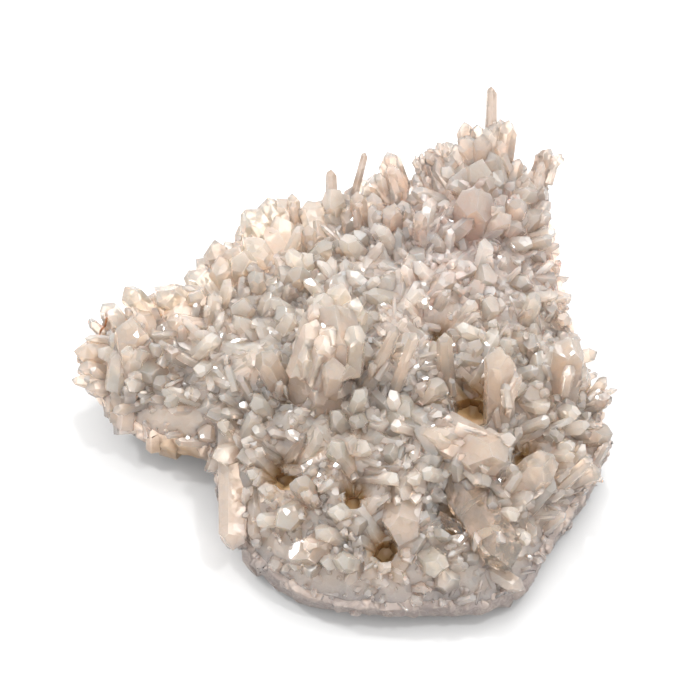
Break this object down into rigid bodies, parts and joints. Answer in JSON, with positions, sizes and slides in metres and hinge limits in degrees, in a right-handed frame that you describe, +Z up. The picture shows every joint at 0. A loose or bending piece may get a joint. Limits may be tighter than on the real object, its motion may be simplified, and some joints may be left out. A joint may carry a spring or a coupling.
{
  "type": "quartz crystal cluster",
  "caption": "Natural mineral specimen: a plate of massive quartz with a druse of small points and large six-sided crystals standing out of it, resting on its broken flat underside.",
  "frame": {"origin": "centre of the whole cluster's box, seen from above, on the flat underside", "axes": "+Z up out of the flat underside, +X towards the straight broken side, away from the arm, +Y towards the peak of the cluster"},
  "size_m": [0.1584, 0.1656, 0.0665],
  "materials": {
    "massive_quartz": "matte",
    "druse_quartz": "satin",
    "milky_quartz": "polished",
    "clear_quartz": "polished"
  },
  "bodies": {
    "root": {"matrix": "massive_quartz", "great_point": "milky_quartz", "left_pillar": "milky_quartz", "clear_point": "clear_quartz", "hanging_pillar": "milky_quartz", "diagonal_block": "milky_quartz", "broad_point": "milky_quartz", "cavity_pillar": "milky_quartz", "flank_block": "milky_quartz", "pink_block": "milky_quartz", "arm_face_block": "milky_quartz", "shoulder_stub": "milky_quartz", "peak_point": "clear_quartz", "peak_cluster": "milky_quartz", "peak_spur": "milky_quartz", "right_horn": "milky_quartz", "crest_fan": "milky_quartz", "crest_stub": "milky_quartz", "slanted_needle": "clear_quartz", "upright_spire": "clear_quartz", "ridge_stub": "milky_quartz", "ridge_spur": "clear_quartz", "shoulder_spurs": "milky_quartz", "brow_prism": "milky_quartz", "brow_block": "milky_quartz", "pale_prism": "clear_quartz", "pink_side": "milky_quartz", "long_blade": "milky_quartz", "short_blade": "milky_quartz", "white_wedge": "clear_quartz", "columns": "clear_quartz", "splinter": "clear_quartz", "rim_blade": "milky_quartz", "rim_end": "milky_quartz", "low_spur": "clear_quartz", "side_spur": "clear_quartz", "right_rim": "milky_quartz", "right_fan": "milky_quartz", "slope_prism": "milky_quartz", "slope_block": "milky_quartz", "ridge_prism": "milky_quartz", "middle_prism": "milky_quartz", "arm_end": "milky_quartz", "arm_spurs": "milky_quartz", "arm_low": "milky_quartz", "arm_needles": "clear_quartz", "arm_stub": "milky_quartz", "low_oval": "milky_quartz", "low_block": "milky_quartz", "front_stub": "milky_quartz", "front_right": "milky_quartz", "front_middle": "milky_quartz", "front_left": "milky_quartz", "cavity_ring_left": "clear_quartz", "cavity_ring_right": "clear_quartz", "druse": "druse_quartz"}
  },
  "joints": []
}
